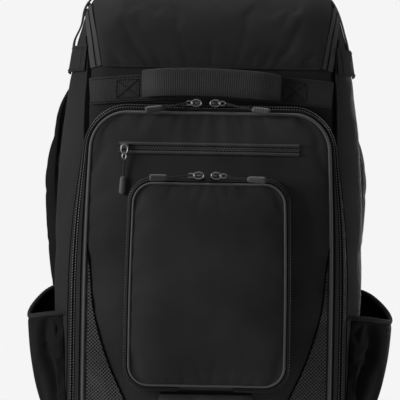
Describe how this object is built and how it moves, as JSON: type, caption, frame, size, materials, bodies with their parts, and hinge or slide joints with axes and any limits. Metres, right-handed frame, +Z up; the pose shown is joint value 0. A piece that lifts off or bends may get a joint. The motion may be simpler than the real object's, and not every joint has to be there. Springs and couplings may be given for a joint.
{
  "type": "wheeled kit bag",
  "caption": "Upright wheeled kit bag of black cloth with a zipped lid, front compartment and pocket, side bottle pockets, padded shoulder straps, a pull-out handle and wheels at the back.",
  "frame": {"origin": "middle of the footprint on the floor that the bag stands on", "axes": "+Z up, the front of the bag faces -Y, +X to the right as seen from the front"},
  "size_m": [0.5068, 0.3292, 0.6852],
  "materials": {
    "cloth": "plain woven polyester, matte black",
    "mesh": "knitted spacer mesh, matte black",
    "tape": "zip tape with nylon coil, black",
    "webbing": "ribbed nylon webbing, black",
    "piping": "smooth piping, satin black",
    "padding": "padded cloth and mesh, matte black",
    "slider": "black coated metal",
    "pull": "moulded rubber and cord, black",
    "plastic": "moulded plastic, matte black",
    "aluminium": "satin, anodised dark grey",
    "tyre": "matte black"
  },
  "bodies": {
    "bag": {"main_body": "cloth", "lid": "cloth", "lid_zip_left": "tape", "lid_zip_right": "tape", "front_compartment": "cloth", "front_zip": "tape", "front_piping": "piping", "pocket": "cloth", "pocket_zip": "tape", "pocket_piping": "piping", "mesh_panel_left": "mesh", "mesh_panel_right": "mesh", "slash_zip": "tape", "front_left_slider": "slider", "front_left_pull": "pull", "front_right_slider": "slider", "front_right_pull": "pull", "pocket_left_slider": "slider", "pocket_left_pull": "pull", "pocket_right_slider": "slider", "pocket_right_pull": "pull", "slash_slider": "slider", "slash_pull": "pull", "handle_band": "webbing", "grab_handle": "webbing", "lower_loop": "webbing", "side_tab_left": "webbing", "side_tab_right": "webbing", "compression_strap_left": "webbing", "compression_strap_right": "webbing", "bottle_pocket_left": "cloth", "bottle_pocket_right": "cloth", "bottle_rim_left": "webbing", "bottle_rim_right": "webbing", "strap_left": "padding", "strap_right": "padding", "strap_web_left": "webbing", "strap_web_right": "webbing", "back_panel": "padding", "handle_tube_left": "plastic", "handle_tube_right": "plastic", "wheel_housing_left": "plastic", "wheel_housing_right": "plastic", "foot_left": "plastic", "foot_right": "plastic"},
    "pull_handle": {"handle_rod_left": "aluminium", "handle_rod_right": "aluminium", "handle_grip": "plastic"},
    "wheel_left": {"wheel_hub_left": "plastic", "wheel_tyre_left": "tyre"},
    "wheel_right": {"wheel_hub_right": "plastic", "wheel_tyre_right": "tyre"}
  },
  "joints": [
    {"name": "handle_slide", "type": "slide", "parent": "bag", "child": "pull_handle", "axis": [0, 0, 1], "range_m": [0, 0.38]},
    {"name": "wheel_left_spin", "type": "hinge", "parent": "bag", "child": "wheel_left", "pos_m": [-0.152, 0.086, 0.041], "axis": [1, 0, 0], "continuous": true},
    {"name": "wheel_right_spin", "type": "hinge", "parent": "bag", "child": "wheel_right", "pos_m": [0.152, 0.086, 0.041], "axis": [1, 0, 0], "continuous": true}
  ]
}
